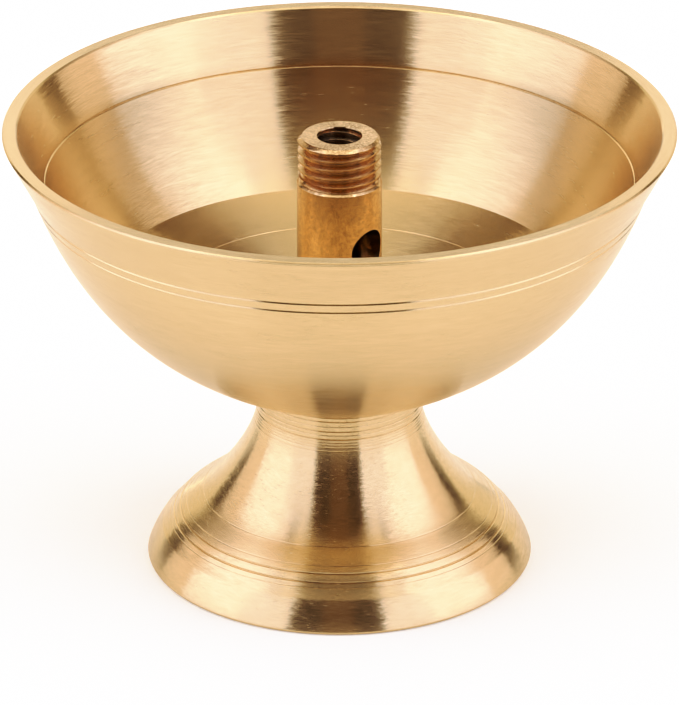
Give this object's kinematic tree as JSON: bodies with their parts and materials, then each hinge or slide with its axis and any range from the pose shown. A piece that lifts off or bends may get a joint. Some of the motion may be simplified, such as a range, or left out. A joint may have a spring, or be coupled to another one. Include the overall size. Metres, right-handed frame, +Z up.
{
  "type": "oil lamp",
  "caption": "Turned brass oil lamp: an open flared bowl on a hollow bell foot, with a hollow, threaded wick post that screws into the bowl's centre.",
  "frame": {"origin": "on the lamp's axis, at the plane that the foot stands on", "axes": "+Z up along the lamp's axis, -Y towards the viewer, +X to the viewer's right; the oil inlet in the wick post opens towards the front right"},
  "size_m": [0.1, 0.1, 0.0698],
  "materials": {
    "spun_brass": "circular brushed",
    "bar_brass": "turned",
    "seal_rubber": "matte",
    "plated_steel": "zinc plated"
  },
  "bodies": {
    "lamp": {"foot": "spun_brass", "bowl": "spun_brass", "clamp_washer": "plated_steel", "spring_washer": "plated_steel", "lock_nut": "bar_brass"},
    "seal": {"seal_washer": "seal_rubber"},
    "post": {"wick_post": "bar_brass"}
  },
  "joints": [
    {"name": "post_lift", "type": "slide", "parent": "lamp", "child": "seal", "axis": [0, 0, 1], "range_m": [0, 0.00875]},
    {"name": "post_unscrew", "type": "hinge", "parent": "seal", "child": "post", "pos_m": [0, 0, 0.0367], "axis": [0, 0, 1], "range_deg": [0, 2520]}
  ],
  "couplings": [
    {"joint": "post_unscrew", "follows": "post_lift", "rad_per_m": 5026.5}
  ]
}
